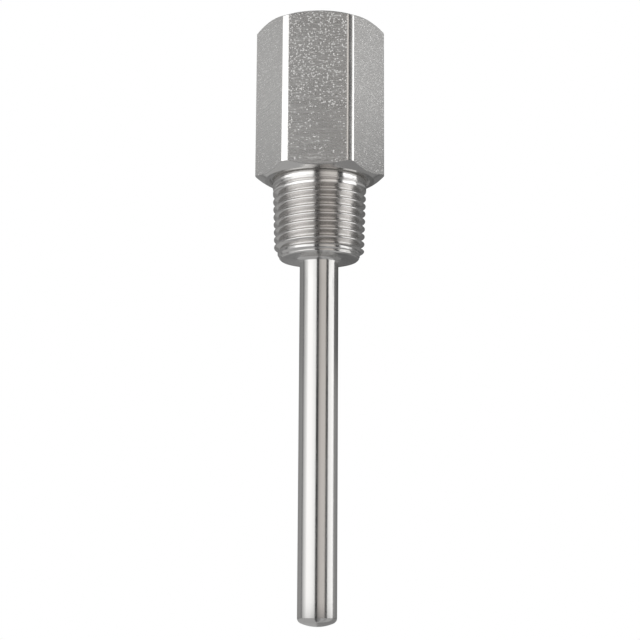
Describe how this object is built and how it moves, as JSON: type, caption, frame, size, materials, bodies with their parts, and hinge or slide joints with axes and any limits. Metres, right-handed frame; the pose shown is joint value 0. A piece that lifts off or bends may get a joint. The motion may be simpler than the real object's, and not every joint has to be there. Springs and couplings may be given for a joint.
{
  "type": "thermowell",
  "caption": "One-piece steel thermowell with a hexagon head, taper pipe thread and closed slender stem that shields a sensor probe in a pipe or tank.",
  "frame": {"origin": "centre of the small end face of the process thread, on the part's axis", "axes": "+Z along the axis towards the head and the socket's mouth, -Z along the stem; -Y out of one flat of the hexagon"},
  "size_m": [0.0304, 0.027, 0.1405],
  "materials": {
    "steel": "bright turned stainless steel, with satin flats on the hexagon"
  },
  "bodies": {
    "root": {"thermowell": "steel"}
  },
  "joints": []
}
